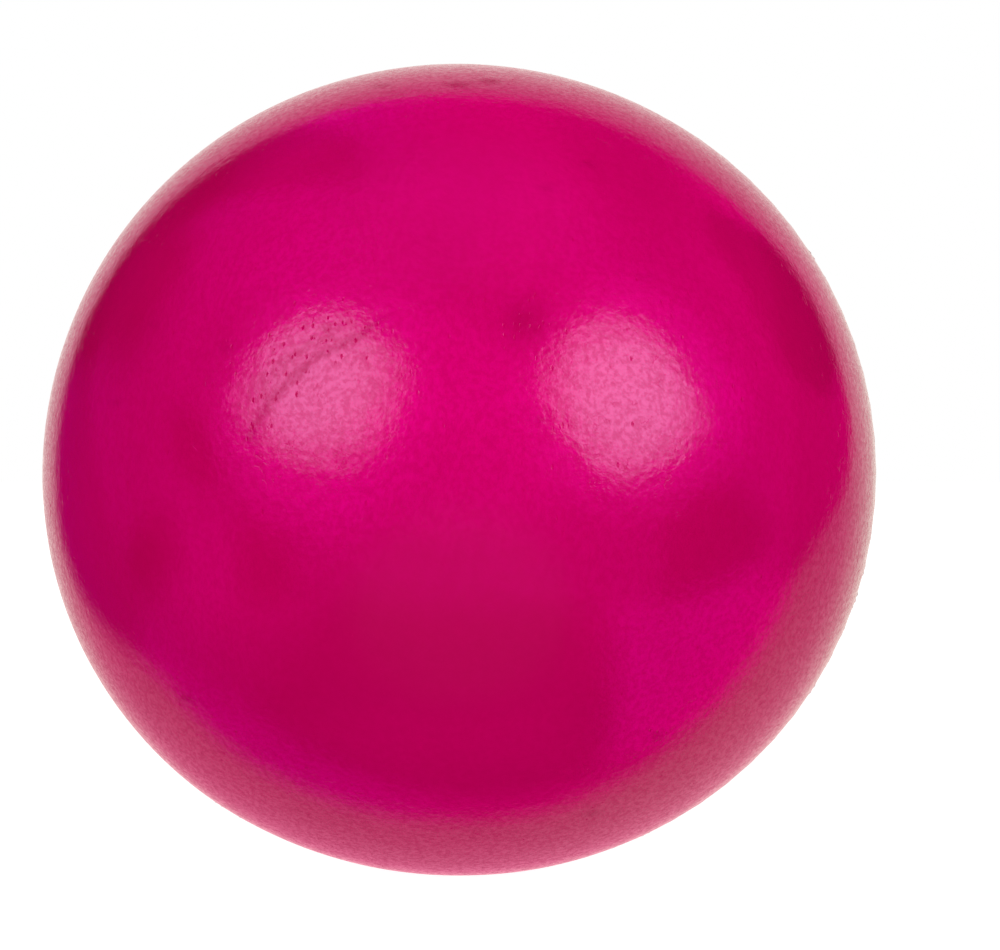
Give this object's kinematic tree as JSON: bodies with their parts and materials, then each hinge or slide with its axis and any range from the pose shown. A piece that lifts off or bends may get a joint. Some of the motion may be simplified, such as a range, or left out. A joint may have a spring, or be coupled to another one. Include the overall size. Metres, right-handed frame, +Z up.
{
  "type": "cricket ball",
  "caption": "Round leather-covered ball with a raised stitched seam round its equator, over a core of wound yarn and cork.",
  "frame": {"origin": "centre of the ball", "axes": "+Z up as the picture shows it; the seam lies in the XZ plane, so +Y is the ball's polar axis, and the front cup's pole faces -Y"},
  "size_m": [0.0728, 0.0714, 0.0728],
  "materials": {
    "pink_leather": "lacquered gloss",
    "waxed_thread": "waxed",
    "worsted_yarn": "matte",
    "sheet_cork": "matte",
    "cork_rubber": "matte"
  },
  "bodies": {
    "root": {"core_nucleus": "cork_rubber", "yarn_winding_inner": "worsted_yarn", "cork_layer_inner": "sheet_cork", "yarn_winding_middle": "worsted_yarn", "cork_layer_outer": "sheet_cork", "yarn_winding_outer": "worsted_yarn", "front_leather_cup": "pink_leather", "rear_leather_cup": "pink_leather", "closing_stitch_row_front": "waxed_thread", "closing_stitch_row_rear": "waxed_thread", "middle_stitch_row_front": "waxed_thread", "middle_stitch_row_rear": "waxed_thread", "outer_stitch_row_front": "waxed_thread", "outer_stitch_row_rear": "waxed_thread"}
  },
  "joints": []
}
